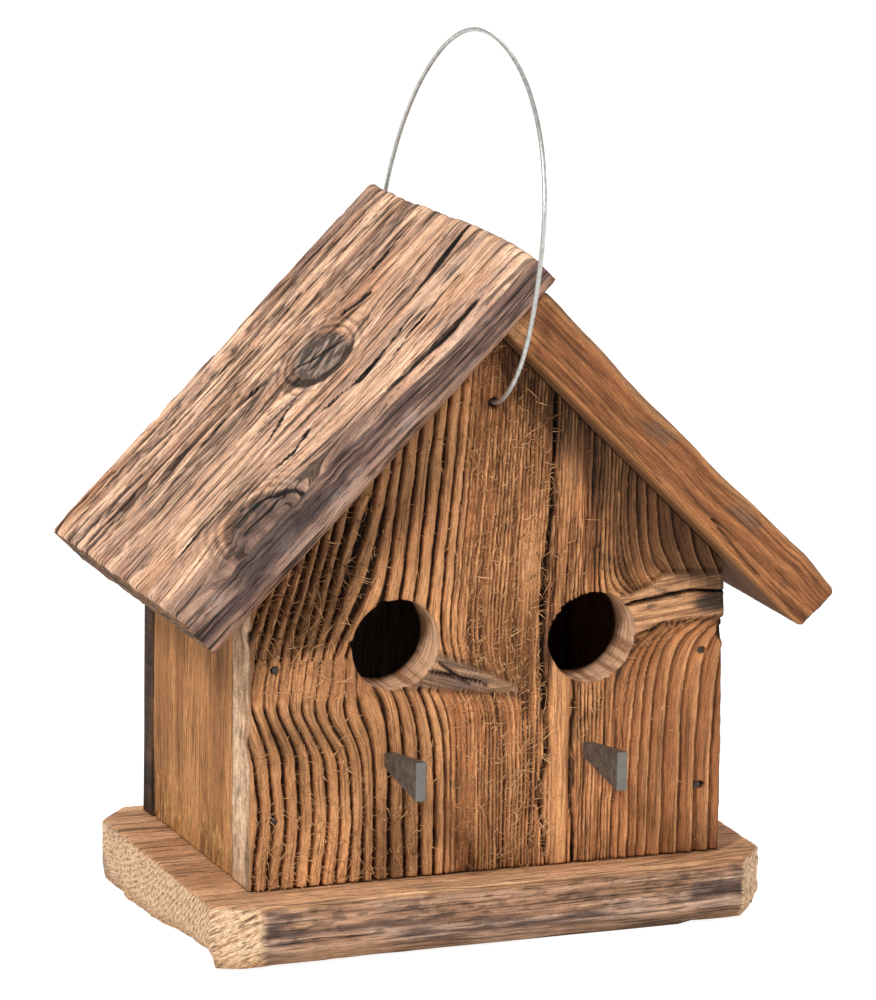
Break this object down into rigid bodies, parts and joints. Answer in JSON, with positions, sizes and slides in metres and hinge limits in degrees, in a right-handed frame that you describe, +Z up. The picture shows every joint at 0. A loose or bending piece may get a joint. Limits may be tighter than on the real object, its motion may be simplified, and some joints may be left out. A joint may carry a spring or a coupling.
{
  "type": "birdhouse",
  "caption": "Rustic gabled wooden birdhouse of brushed reclaimed boards with twin round entrances, steel wedge perches, overhanging lapped roof, clipped-corner base and swinging wire bail.",
  "frame": {"origin": "on the base's underside, below the middle of the gabled body", "axes": "+X to the right along the front, +Y from the front to the back, +Z up; the front faces -Y"},
  "size_m": [0.2637, 0.1713, 0.3357],
  "materials": {
    "front_wood": "deeply brushed, golden brown with dark grooves",
    "side_wood": "smooth golden brown",
    "back_wood": "dark weathered",
    "roof_left_wood": "tan with grey weather streaks",
    "roof_right_wood": "reddish brown, sawn edge",
    "base_wood": "weathered, pale end grain",
    "perch_steel": "dark, dull, worn ends",
    "nail_steel": "dull",
    "screw_zinc": "zinc plated",
    "galvanised_wire": "galvanised, satin"
  },
  "bodies": {
    "house": {"base_board": "base_wood", "front_panel": "front_wood", "back_panel": "back_wood", "left_side": "side_wood", "right_side": "side_wood", "roof_board_left": "roof_left_wood", "roof_board_right": "roof_right_wood", "perch_left": "perch_steel", "perch_right": "perch_steel", "front_nails": "nail_steel", "back_nails": "nail_steel", "roof_nails_left": "nail_steel", "roof_nails_right": "nail_steel", "ridge_nails": "nail_steel", "base_screws": "screw_zinc"},
    "bail": {"hanging_wire": "galvanised_wire"}
  },
  "joints": [
    {"name": "bail_swing", "type": "hinge", "parent": "house", "child": "bail", "pos_m": [0, 0, 0.2048], "axis": [0, 1, 0], "range_deg": [-101, 89]}
  ]
}
